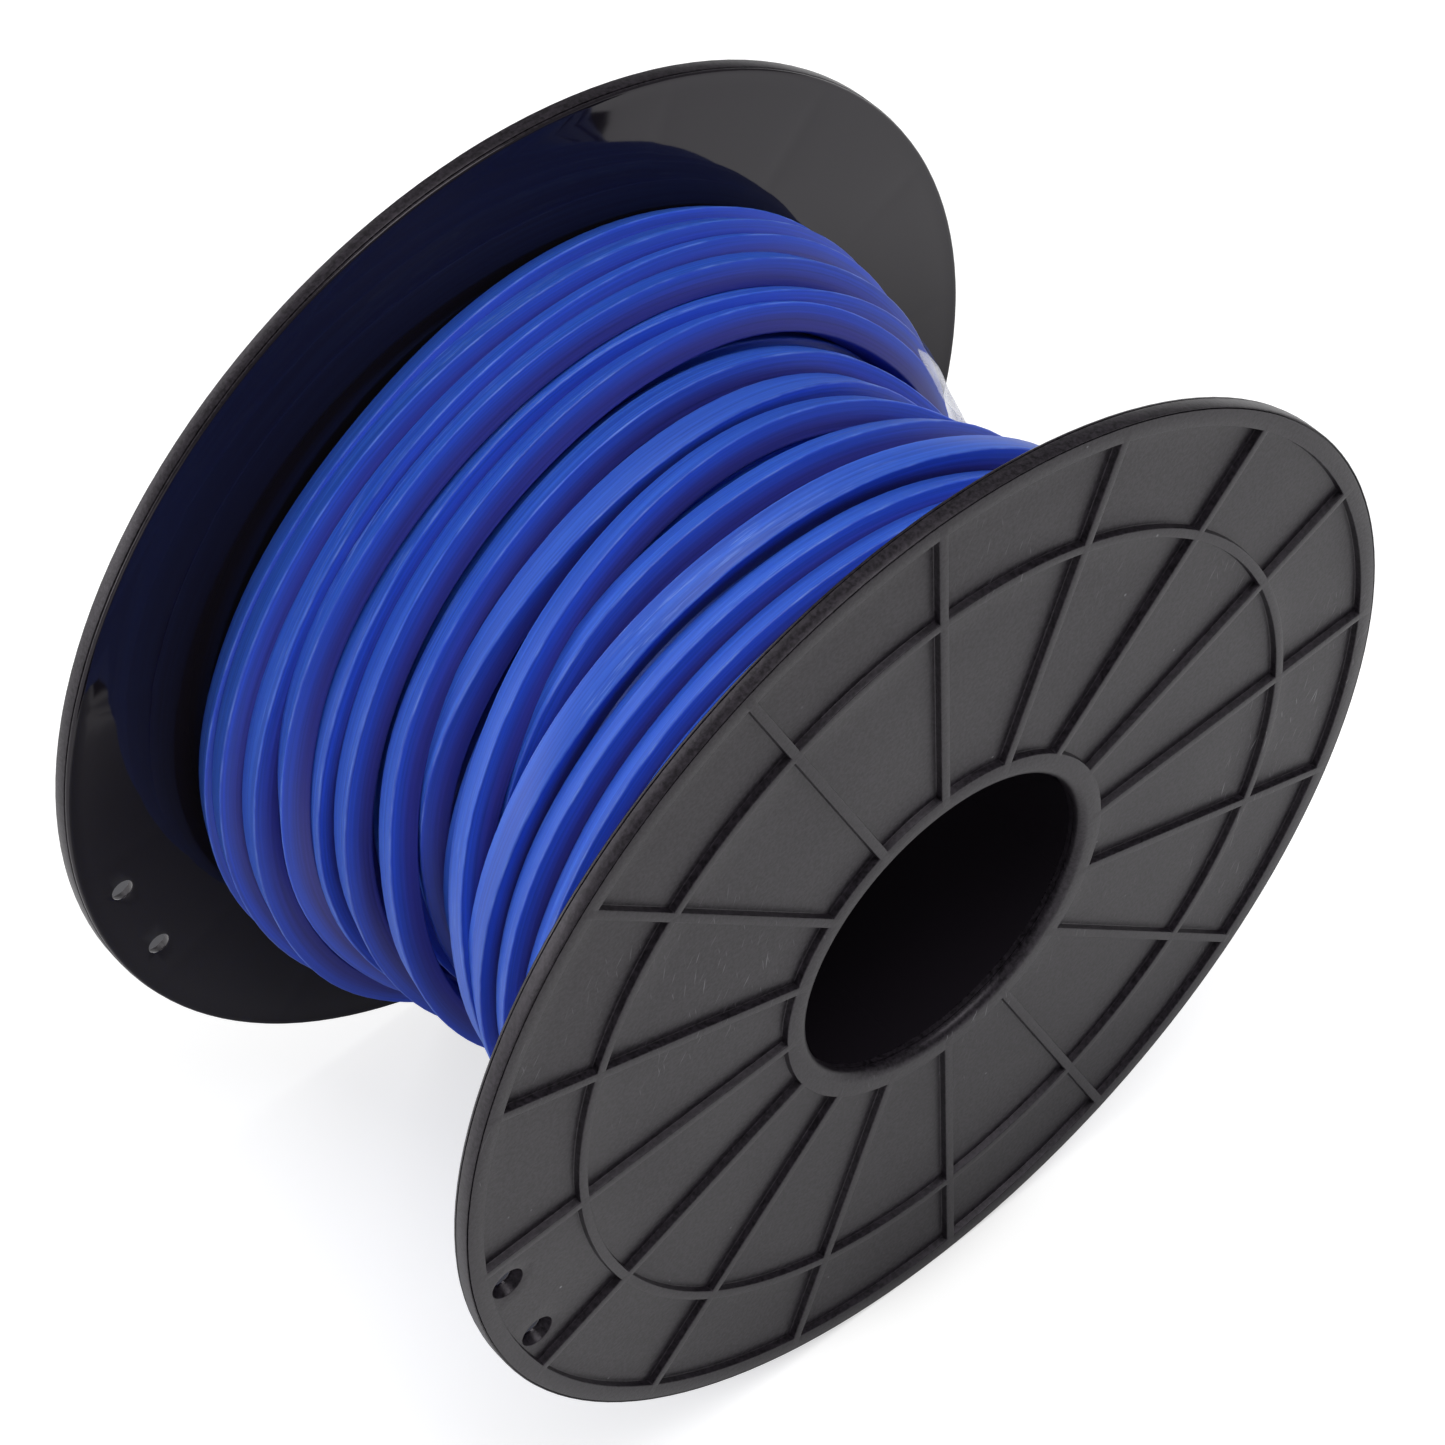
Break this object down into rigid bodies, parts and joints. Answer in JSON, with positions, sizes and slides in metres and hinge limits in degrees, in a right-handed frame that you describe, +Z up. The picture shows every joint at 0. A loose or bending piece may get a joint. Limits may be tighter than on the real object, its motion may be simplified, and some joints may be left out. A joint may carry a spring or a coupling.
{
  "type": "line spool",
  "caption": "Round flanged plastic spool with ribbed faces and a wide through bore, wound with square-section nylon line.",
  "frame": {"origin": "middle of the bore, halfway between the two flanges", "axes": "+Y along the bore axis from the front flange to the rear flange, +Z up as the spool stands on its two rims"},
  "size_m": [0.096, 0.052, 0.096],
  "materials": {
    "spool_plastic": "satin outside, glossy inside the flanges",
    "line_nylon": "semi-gloss extruded line",
    "tape_film": "clear film"
  },
  "bodies": {
    "root": {"front_flange": "spool_plastic", "rear_flange": "spool_plastic", "barrel": "spool_plastic", "inner_winding": "line_nylon", "outer_winding": "line_nylon", "end_tape": "tape_film"}
  },
  "joints": []
}
